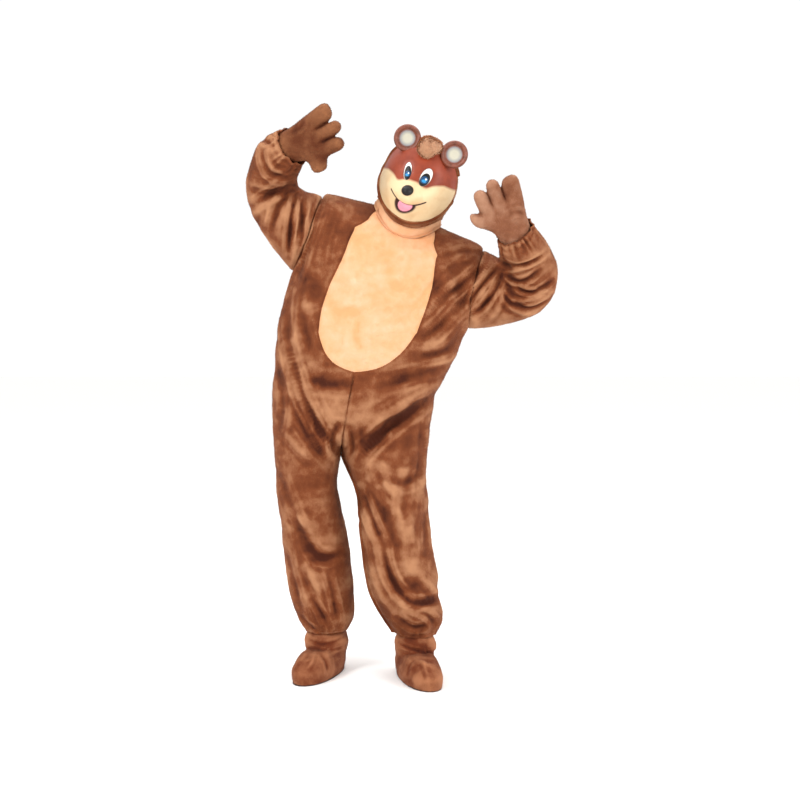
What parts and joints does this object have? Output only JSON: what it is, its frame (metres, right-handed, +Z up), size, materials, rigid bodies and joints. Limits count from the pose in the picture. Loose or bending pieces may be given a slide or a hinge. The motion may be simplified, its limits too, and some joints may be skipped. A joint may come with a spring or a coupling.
{
  "type": "teddy bear costume",
  "caption": "Full-body plush bear costume as worn: hollow jumpsuit with belly panel and stand collar, hood with moulded bear face and ears, mitts and shoe covers.",
  "frame": {"origin": "middle of the neck seam, where collar and jumpsuit meet", "axes": "+Z up, the front faces -Y, and +X is to the wearer's left"},
  "size_m": [0.9642, 0.4488, 1.7369],
  "materials": {
    "plush": "short brown pile",
    "peach_plush": "short peach pile",
    "thin_plush": "thin red-brown pile",
    "pile": "longer tan pile",
    "painted_vinyl": "moulded and painted, satin to glossy",
    "sole_vinyl": "plain"
  },
  "bodies": {
    "root": {"back_left": "plush", "back_right": "plush", "belly_panel": "peach_plush", "collar": "peach_plush", "ear_left": "painted_vinyl", "ear_right": "painted_vinyl", "front_left": "plush", "front_right": "plush", "hood": "plush", "mask": "painted_vinyl", "mitt_left": "plush", "mitt_right": "plush", "shoe_cover_left": "thin_plush", "shoe_cover_right": "thin_plush", "sleeve_left": "plush", "sleeve_right": "plush", "sole_left": "sole_vinyl", "sole_right": "sole_vinyl", "tuft": "pile"}
  },
  "joints": []
}
